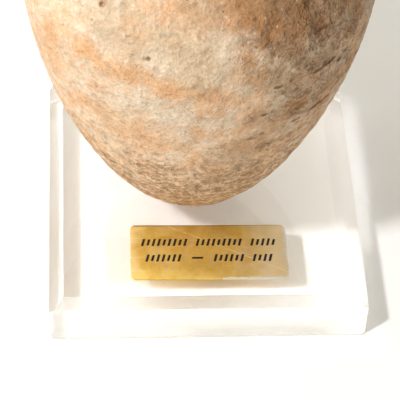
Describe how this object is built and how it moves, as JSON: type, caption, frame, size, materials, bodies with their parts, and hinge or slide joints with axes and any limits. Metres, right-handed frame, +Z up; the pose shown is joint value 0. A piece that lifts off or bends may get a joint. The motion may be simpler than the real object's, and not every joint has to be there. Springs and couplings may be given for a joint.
{
  "type": "terracotta vessel on a clear acrylic stand",
  "caption": "Ovoid terracotta vessel with a small rounded foot, hollow with a narrow neck, standing glued on a clear acrylic block with a small gilt plate.",
  "frame": {"origin": "middle of the underside of the clear block", "axes": "+Z up through the vessel, -Y toward the side of the block that carries the plate, +X to the right seen from that side"},
  "size_m": [0.1085, 0.1087, 0.1886],
  "materials": {
    "terracotta": "unglazed, pitted and worn, with lime and clay stains",
    "clear_acrylic": "polished and see-through",
    "gilt_metal": "satin gilt, scratched and worn at one end"
  },
  "bodies": {
    "root": {"vessel": "terracotta", "stand_block": "clear_acrylic", "name_plate": "gilt_metal"}
  },
  "joints": []
}
